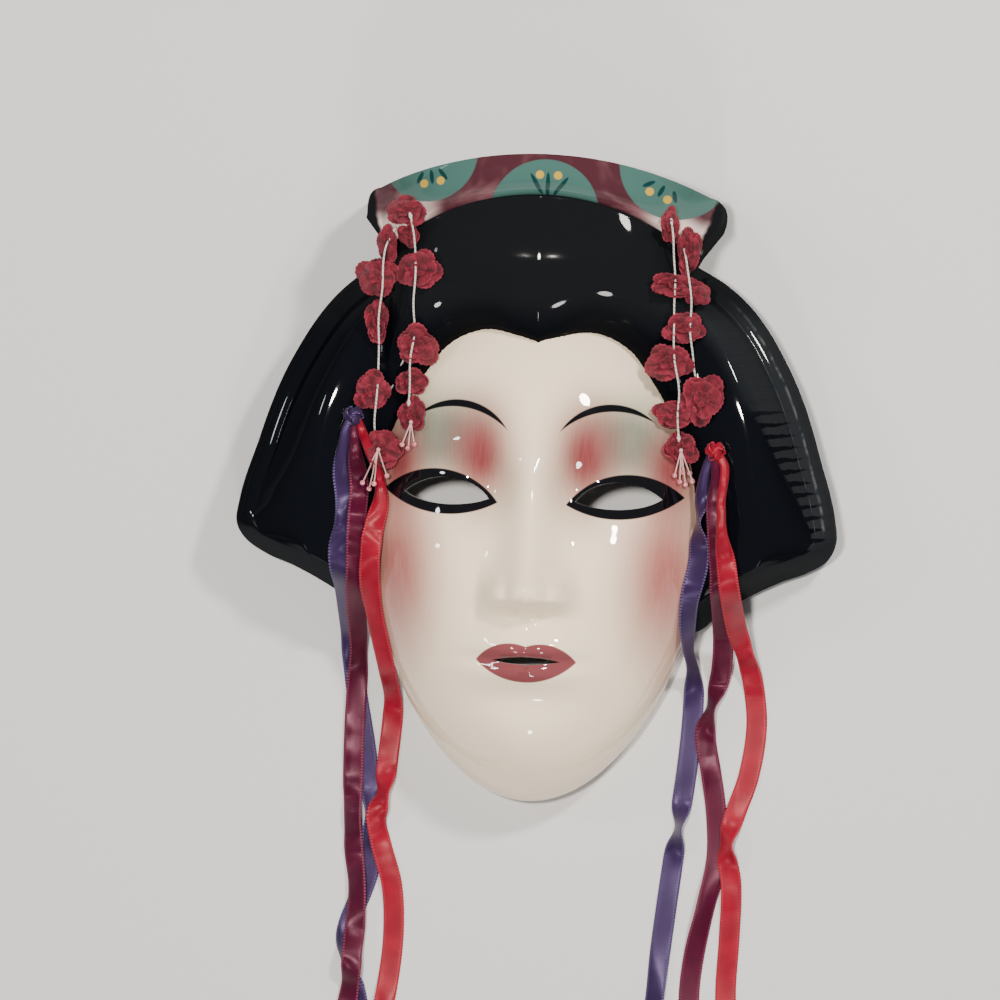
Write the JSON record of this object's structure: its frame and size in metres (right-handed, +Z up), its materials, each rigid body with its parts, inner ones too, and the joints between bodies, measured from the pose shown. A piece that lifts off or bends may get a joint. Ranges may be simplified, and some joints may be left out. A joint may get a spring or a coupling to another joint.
{
  "type": "geisha wall mask",
  "caption": "Glazed ceramic wall mask of a geisha's face with black winged hair and a painted headpiece, trimmed with satin ribbons and strings of cloth flowers.",
  "frame": {"origin": "middle of the ceramic shell's bounding box, on the plane of the flat back rim that it lies on", "axes": "+Z up out of the face, +Y towards the crown, +X towards the viewer's right"},
  "size_m": [0.2086, 0.3621, 0.0755],
  "materials": {
    "glazed_ceramic": "clear gloss glaze over white, black and painted underglaze",
    "satin_purple": "satin ribbon with picot edges",
    "satin_burgundy": "satin ribbon with picot edges",
    "satin_red": "satin ribbon with picot edges",
    "white_thread": "twisted cotton thread",
    "crimson_cloth": "stiffened ruffled cloth with pinked edges",
    "pearl_stamens": "pearly beads on pale threads"
  },
  "bodies": {
    "root": {"mask_shell": "glazed_ceramic", "knot_left": "satin_purple", "knot_right": "satin_red", "ribbon_left_purple": "satin_purple", "ribbon_left_burgundy": "satin_burgundy", "ribbon_left_red": "satin_red", "ribbon_right_purple": "satin_purple", "ribbon_right_burgundy": "satin_burgundy", "ribbon_right_red": "satin_red", "string_left_outer": "white_thread", "string_left_inner": "white_thread", "string_right_inner": "white_thread", "string_right_outer": "white_thread", "flower_left_01": "crimson_cloth", "flower_left_02": "crimson_cloth", "flower_left_03": "crimson_cloth", "flower_left_04": "crimson_cloth", "flower_left_05": "crimson_cloth", "flower_left_06": "crimson_cloth", "flower_left_07": "crimson_cloth", "flower_left_08": "crimson_cloth", "flower_left_09": "crimson_cloth", "flower_left_10": "crimson_cloth", "flower_left_11": "crimson_cloth", "flower_right_01": "crimson_cloth", "flower_right_02": "crimson_cloth", "flower_right_03": "crimson_cloth", "flower_right_04": "crimson_cloth", "flower_right_05": "crimson_cloth", "flower_right_06": "crimson_cloth", "flower_right_07": "crimson_cloth", "flower_right_08": "crimson_cloth", "flower_right_09": "crimson_cloth", "stamens_left_inner": "pearl_stamens", "stamens_left_outer": "pearl_stamens", "stamens_right": "pearl_stamens"}
  },
  "joints": []
}
